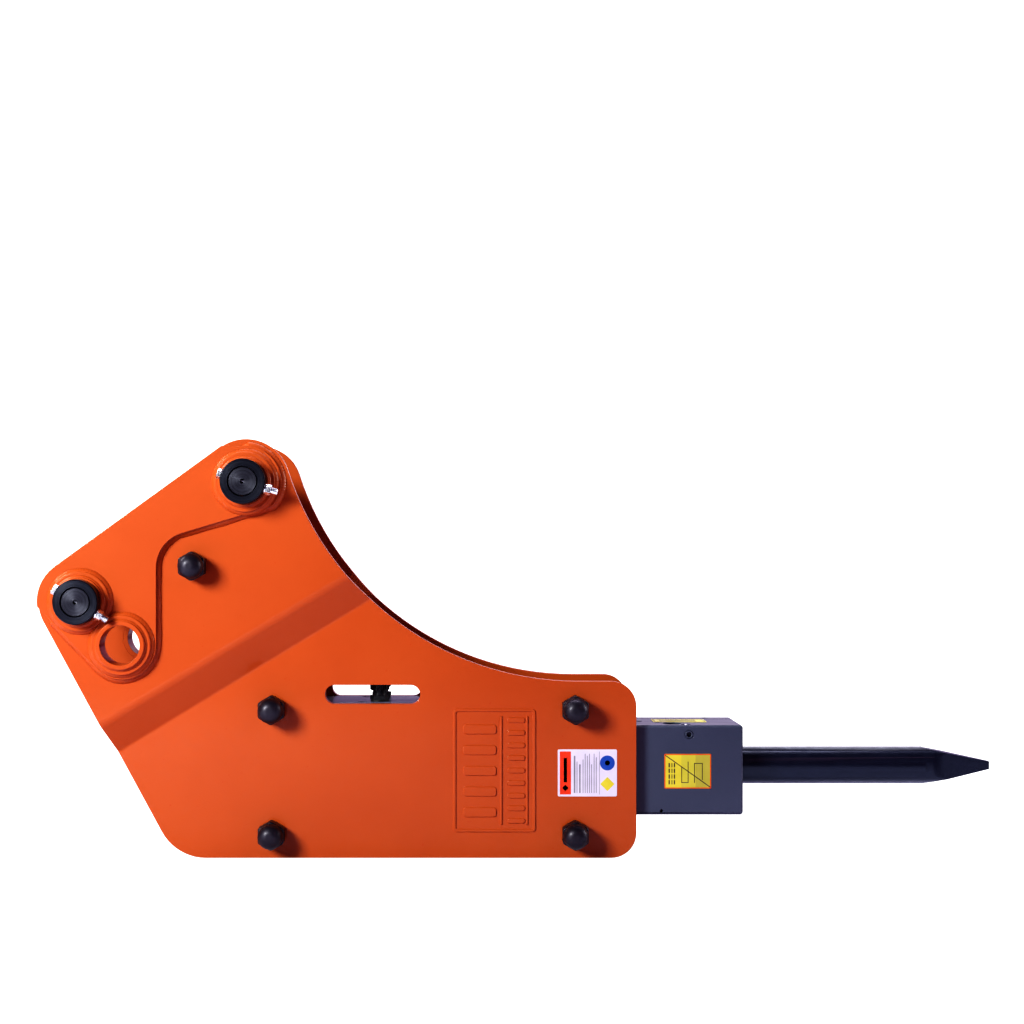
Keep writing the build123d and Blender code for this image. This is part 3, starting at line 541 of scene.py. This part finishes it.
# How wide each showing node's sharp edges are rounded, in mm. A wider bevel folds small faces over.
BEVELS = {
    "side_plate_near": 0.6, "side_plate_far": 0.4,
    "doubler_plate_near": 0.8, "doubler_plate_far": 0.8,
    "boss_rings_near": 0.7, "boss_rings_far": 0.7, "plate_bushes_near": 0.6, "plate_bushes_far": 0.6,
    "back_head": 1.0, "cylinder": 1.0, "front_head": 0.4,
    "lower_pin_collars": 0.5, "upper_pin_collars": 0.5,
    "stud_washers_near": 0.5, "stud_washers_far": 0.5,
    "lower_pin_lock_nuts": 0.4, "upper_pin_lock_nuts": 0.4,
    "lower_pin_lock_bolts": 0.4, "upper_pin_lock_bolts": 0.4, "chisel": 0.4,
    "inlet_adapter": 0.5, "outlet_adapter": 0.5, "inlet_dust_cap": 0.4, "outlet_dust_cap": 0.4,
    "grease_nipple": 0.3, "socket_plug": 0.9, "cap_nuts_near": 0.3, "cap_nuts_far": 0.3,
    "gas_valve": 0.4, "gas_valve_cap": 0.5, "tie_rod_nuts": 0.6,
}


def dress_nodes():
    """Gives every CAD node its material, and rounds the sharp edges of those that show."""
    for part in frame["record"]["subparts"]:
        data = NODES[part["node"]].data
        data.materials.clear()
        data.materials.append(SLOT_LOOKS[part["material_slot"]])
    for name, width in BEVELS.items():
        ob = NODES[name]
        weld = ob.modifiers.new("weld", "WELD")
        weld.merge_threshold = JOIN_DISTANCE
        flat = ob.modifiers.new("flat", "DECIMATE")
        flat.decimate_type = "DISSOLVE"
        flat.angle_limit = FLAT_ANGLE
        edge = ob.modifiers.new("edge", "BEVEL")
        edge.width = width * MM
        edge.segments = BEVEL_SEGMENTS
        edge.limit_method = "ANGLE"
        edge.angle_limit = SHARP_ANGLE
        edge.use_clamp_overlap = False
        ob.modifiers.new("normals", "WEIGHTED_NORMAL").keep_sharp = False


# ---------------------------------------------------------------- pieces
def plate_welds(side):
    """Beads round the doubler's free edge, the boss rings and the bushes on one side plate."""
    word, out = side_names(side)
    lo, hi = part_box(f"doubler_plate_{word}")
    base = lo[1] if out > 0 else hi[1]
    face = hi[1] if out > 0 else lo[1]
    plate = welded(f"side_plate_{word}")
    tree = BVHTree.FromBMesh(plate)
    bm = bmesh.new()
    outline = max(outlines(f"doubler_plate_{word}", base), key=width_of)
    path = spread(outline, BEAD_PITCH)
    area = sum(a.x * b.y - b.x * a.y for a, b in zip(path, path[1:] + path[:1]))
    turn = 1.0 if area > 0 else -1.0
    sides, on_plate = [], []
    for i, p in enumerate(path):
        along = (path[(i + 4) % len(path)] - path[i - 4]).normalized()
        off = Vector((along.y, -along.x)) * turn
        sides.append(off)
        probe = p + off * BEAD_PROBE
        hit = tree.ray_cast(Vector((probe.x, out * 0.4, probe.y)), Vector((0, -out, 0)))[0]
        on_plate.append(hit is not None and abs(hit.y - base) < 0.0006)
    begin = next(i for i in range(len(path)) if on_plate[i] and not on_plate[i - 1])
    run = [(begin + k) % len(path) for k in range(len(path))]
    run = run[: next(k for k in range(len(run)) if not on_plate[run[k]])]
    bead(bm, [path[i] for i in run], [sides[i] for i in run], base, DOUBLER_BEAD_LEG, out, closed=False)
    plate.free()
    rings = outlines(f"boss_rings_{word}", face)
    outer = [loop for loop in rings if width_of(loop) > BOSS_LEAST_WIDTH]
    boss_lo, boss_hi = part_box(f"boss_rings_{word}")
    boss_face = boss_hi[1] if out > 0 else boss_lo[1]
    for loop in outer:
        c = centre_of(loop)
        r = max(p[0] for p in loop) - c.x
        ring_bead(bm, c.x, c.y, r - 0.0002, face, BOSS_BEAD_LEG, out)
        ring_bead(bm, c.x, c.y, BUSH_R, boss_face, BUSH_BEAD_LEG, out)
    piece(f"plate_welds_{word}", bm, ORANGE, smooth=True)


def plug_rim():
    """The raised lip round the hexagon socket of the plug in the nose's side."""
    lo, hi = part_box("socket_plug")
    bm = bmesh.new()
    x, z, r = (lo[0] + hi[0]) / 2, (lo[2] + hi[2]) / 2, (hi[0] - lo[0]) / 2 - PLUG_LIP_INSET
    ring_bead(bm, x, z, r, lo[1], PLUG_LIP_LEG, -1)
    piece("socket_plug_rim", bm, NAVY, smooth=True)


def brace_welds():
    """A bead round each end of the brace's spacer tube."""
    lo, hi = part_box("brace_spacer")
    x, z, r = (lo[0] + hi[0]) / 2, (lo[2] + hi[2]) / 2, (hi[0] - lo[0]) / 2
    bm = bmesh.new()
    ring_bead(bm, x, z, r, lo[1], BRACE_BEAD_LEG, 1)
    ring_bead(bm, x, z, r, hi[1], BRACE_BEAD_LEG, -1)
    piece("brace_welds", bm, ORANGE, smooth=True)


def helix_thread(bm, start_at, axis, r, length, pitch, depth):
    """A raised thread ridge on a shank, from start_at along axis."""
    axis = axis.normalized()
    u = axis.orthogonal().normalized()
    v = axis.cross(u)
    steps = int(length / pitch * THREAD_POINTS)
    rings = []
    for i in range(steps + 1):
        t = i / THREAD_POINTS * 2 * math.pi
        along = i / THREAD_POINTS * pitch
        way = u * math.cos(t) + v * math.sin(t)
        fade = min(1.0, i / THREAD_FADE, (steps - i) / THREAD_FADE)
        crest = r + depth * max(fade, 0.02)
        at = start_at + axis * along
        root = r - depth * 0.3
        profile = ((-pitch * 0.44, root), (-pitch * 0.06, crest), (pitch * 0.06, crest), (pitch * 0.44, root))
        rings.append([bm.verts.new(at + axis * o + way * q) for o, q in profile])
    for a, b in zip(rings, rings[1:]):
        for k in range(4):
            bm.faces.new((a[k], a[(k + 1) % 4], b[(k + 1) % 4], b[k]))
    bm.faces.new(rings[0])
    bm.faces.new(list(reversed(rings[-1])))


def lock_threads(which):
    """Threads on the tails of a pin's two lock bolts, found from the bolts' own meshes."""
    bolts = NODES[f"{which}_lock_bolts"].data
    nuts = NODES[f"{which}_lock_nuts"].data
    bm = bmesh.new()
    for sign in (-1, 1):
        pts = [v.co.copy() for v in bolts.vertices if v.co.y * sign > 0]
        nut = [v.co.copy() for v in nuts.vertices if v.co.y * sign > 0]
        mid = sum(pts, Vector()) / len(pts)
        nut_mid = sum(nut, Vector()) / len(nut)
        axis = direction(pts, nut_mid - mid)
        ends = [(p - nut_mid).dot(axis) for p in pts]
        nut_half = max(abs((p - nut_mid).dot(axis)) for p in nut)
        tail = max(ends) - nut_half
        begin = nut_mid + axis * (nut_half + LOCK_THREAD_GAP)
        helix_thread(bm, begin, axis, LOCK_THREAD_R, tail - LOCK_THREAD_SHORT, LOCK_THREAD_PITCH,
                     LOCK_THREAD_DEPTH)
    piece(f"{which}_lock_threads", bm, ZINC, f"{which}_set")


def adapter_threads(which):
    """The adapter's thread between its hexagon and the dust cap's rim, and on up inside the cap."""
    lo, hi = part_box(f"{which}_adapter")
    cap_lo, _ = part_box(f"{which}_dust_cap")
    bm = bmesh.new()
    begin = Vector(((lo[0] + hi[0]) / 2, (lo[1] + hi[1]) / 2, cap_lo[2] - ADAPTER_THREAD_BELOW))
    helix_thread(bm, begin, Vector((0, 0, 1)), ADAPTER_THREAD_R, ADAPTER_THREAD_LENGTH,
                 ADAPTER_THREAD_PITCH, ADAPTER_THREAD_DEPTH)
    piece(f"{which}_adapter_threads", bm, OXIDE)


def direction(pts, hint):
    """The long direction of a set of points in the XZ plane, on hint's side."""
    best, way = 0.0, None
    for i in range(720):
        a = math.pi * i / 720
        d = Vector((math.cos(a), 0, math.sin(a)))
        span = [p.dot(d) for p in pts]
        if max(span) - min(span) > best:
            best, way = max(span) - min(span), d
    return way if way.dot(hint) > 0 else -way


def slab(bm, points, place, base, height, index):
    """A flat printed shape: points (u, v) in mm, place maps (u, v, w) to the frame."""
    low = [bm.verts.new(place(u, v, base)) for u, v in points]
    top = [bm.verts.new(place(u, v, height)) for u, v in points]
    faces = [bm.faces.new(top), bm.faces.new(list(reversed(low)))]
    for i in range(len(points)):
        j = (i + 1) % len(points)
        faces.append(bm.faces.new((low[i], low[j], top[j], top[i])))
    for face in faces:
        face.material_index = index


def bar(u0, u1, v0, v1):
    """A rectangle, in mm."""
    return [(u0, v0), (u1, v0), (u1, v1), (u0, v1)]


def disc(u, v, r, count=40):
    """A disc, or with four points a diamond, in mm."""
    return circle(u, v, r, count)


def printed(name, shapes, place, inks, height=INK_OVER):
    """One piece of thin flat shapes in several inks, on a sticker of the body."""
    bm = bmesh.new()
    for points, ink in shapes:
        slab(bm, points, place, INK_UNDER, height, inks.index(ink))
    ob = mesh_object(name, bm)
    for ink in inks:
        ob.data.materials.append(ink)
    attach(ob, BODY)


def frame_bars(w, h, inset, t):
    """Four bars that make a border inside a w by h sheet, in mm from its lower left corner."""
    i, o = inset, inset + t
    return [bar(i, w - i, i, o), bar(i, w - i, h - o, h - i),
            bar(i, o, o, h - o), bar(w - o, w - i, o, h - o)]


def on_near_face(lo):
    """Maps (u, v, w) in mm to the frame, for a sheet facing -Y whose lower left corner is lo."""
    return lambda u, v, w: Vector((lo[0] + u * MM, lo[1] - w * MM, lo[2] + v * MM))


def plate_sticker_print():
    """A red panel, plain lines of print, a blue disc and a yellow diamond on the white sticker."""
    lo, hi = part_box("plate_sticker")
    on_plate = on_near_face(lo)
    h = (hi[2] - lo[2]) / MM
    shapes = [(bar(3, 18.5, 3, h - 3), RED_INK), (disc(10.7, 12.0, 4.4, 4), YELLOW_VINYL)]
    shapes += [(bar(8.6, 12.8, 20, h - 12), DARK_INK)]
    lines = ((22.5, 52, 2.2), (26.5, 44, 1.0), (30.0, 40, 2.0), (35.0, 47, 0.9), (38.0, 55, 0.9),
             (41.0, 52, 0.9), (44.0, 55, 0.9), (47.0, 40, 0.9), (50.5, 55, 0.9), (53.5, 50, 0.9))
    for u, reach, t in lines:
        shapes.append((bar(u, u + t, 5, min(5 + reach, h - 5)), GREY_INK))
    shapes += [(bar(58.2, 58.8, 3, h - 3), GREY_INK)]
    shapes += [(disc(69.5, h - 19.0, 10.4), BLUE_INK), (disc(69.5, h - 19.0, 3.4), WHITE_VINYL)]
    inks = [RED_INK, YELLOW_VINYL, DARK_INK, GREY_INK, BLUE_INK, WHITE_VINYL]
    printed("plate_sticker_print", shapes, on_plate, inks)
    mark = [(disc(69.5, 17.5, 9.8, 4), YELLOW_VINYL)]
    printed("plate_sticker_mark", mark, on_plate, [YELLOW_VINYL])


def nose_side_sticker_print():
    """Two tints, a red border, a column of short bars and a dark bar from corner to corner."""
    lo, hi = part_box("nose_side_sticker")
    on_nose = on_near_face(lo)
    w, h = (hi[0] - lo[0]) / MM, (hi[2] - lo[2]) / MM
    tints = [(bar(24, 44, 1.4, h - 1.4), LIME_INK), (bar(44, w - 1.4, 1.4, h - 1.4), OLIVE_INK)]
    printed("nose_side_sticker_tint", tints, on_nose, [LIME_INK, OLIVE_INK], TINT_OVER)
    shapes = [(b, RED_INK) for b in frame_bars(w, h, 0.2, 1.3)]
    for u, t in ((6.0, 1.7), (10.2, 1.1), (13.4, 1.7)):
        shapes += [(bar(u, u + t, v, v + 6.0), DARK_INK) for v in (6.0, 14.0, 22.0, 30.0)]
    shapes += [(bar(24, 34, 8, 9), DARK_INK), (bar(24, 25, 9, 30), DARK_INK), (bar(33, 34, 9, 38), DARK_INK)]
    shapes += [(bar(42, 43, 8, 36), DARK_INK), (bar(43, 54, 35, 36), DARK_INK)]
    shapes += [(bar(53, 54, 12, 35), DARK_INK)]
    shapes += [([(1.5, h - 1.5), (1.5, h - 2.9), (w - 1.5, 1.5), (w - 1.5, 2.9)], DARK_INK)]
    printed("nose_side_sticker_print", shapes, on_nose, [RED_INK, DARK_INK])


def nose_top_sticker_print():
    """A dark border and four plain bars."""
    lo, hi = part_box("nose_top_sticker")

    def on_top(u, v, w):
        return Vector((lo[0] + u * MM, lo[1] + v * MM, hi[2] + w * MM))

    w, h = (hi[0] - lo[0]) / MM, (hi[1] - lo[1]) / MM
    shapes = [(b, DARK_INK) for b in frame_bars(w, h, 2.0, 1.0)]
    shapes += [(bar(10, 62, v, v + 2.2), DARK_INK) for v in (9.0, 15.0, 21.0, 29.0)]
    printed("nose_top_sticker_print", shapes, on_top, [DARK_INK])


def cap_grips(which):
    """Moulded ribs round a dust cap's rim."""
    lo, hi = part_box(f"{which}_dust_cap")
    x, y, r = (lo[0] + hi[0]) / 2, (lo[1] + hi[1]) / 2, (hi[0] - lo[0]) / 2
    bm = bmesh.new()
    z0, z1 = lo[2] + 0.0012, hi[2] - 0.0018
    for i in range(CAP_RIBS):
        a = 2 * math.pi * i / CAP_RIBS
        way, across = Vector((math.cos(a), math.sin(a), 0)), Vector((-math.sin(a), math.cos(a), 0))
        mid = Vector((x, y, 0)) + way * (r - 0.0002)
        inner, outer = mid - way * RIB_HALF_DEPTH, mid + way * RIB_HALF_DEPTH
        pts = [inner - across * RIB_ROOT, inner + across * RIB_ROOT,
               outer + across * RIB_CREST, outer - across * RIB_CREST]
        low = [bm.verts.new((p.x, p.y, z0)) for p in pts]
        top = [bm.verts.new((p.x, p.y, z1)) for p in pts]
        bm.faces.new(top)
        bm.faces.new(list(reversed(low)))
        for k in range(4):
            bm.faces.new((low[k], low[(k + 1) % 4], top[(k + 1) % 4], top[k]))
    piece(f"{which}_cap_grips", bm, CAP, f"{which}_cap")


def pin_looks():
    """Turned end faces on the pins and their collars."""
    for which in ("lower_pin", "upper_pin"):
        lo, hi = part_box(which)
        centre = ((lo[0] + hi[0]) / 2, 0, (lo[2] + hi[2]) / 2)
        pin = turned_face(f"{which}_turned", centre, (0.014, 0.014, 0.022), (0.042, 0.042, 0.058),
                          0.34, 0.0011)
        collar = turned_face(f"{which}_collar_turned", centre, (0.009, 0.010, 0.018),
                             (0.022, 0.024, 0.038), 0.32, 0.0016)
        for name, look in ((which, pin), (f"{which}_collars", collar)):
            NODES[name].data.materials.clear()
            NODES[name].data.materials.append(look)


# ---------------------------------------------------------------- build
dress_nodes()
pin_looks()
for side in (-1, 1):
    plate_welds(side)
brace_welds()
for pin in ("lower_pin", "upper_pin"):
    lock_threads(pin)
plug_rim()
for port in ("inlet", "outlet"):
    adapter_threads(port)
for port in ("inlet", "outlet"):
    cap_grips(port)
plate_sticker_print()
nose_side_sticker_print()
nose_top_sticker_print()
studio()
floor()
add_camera()
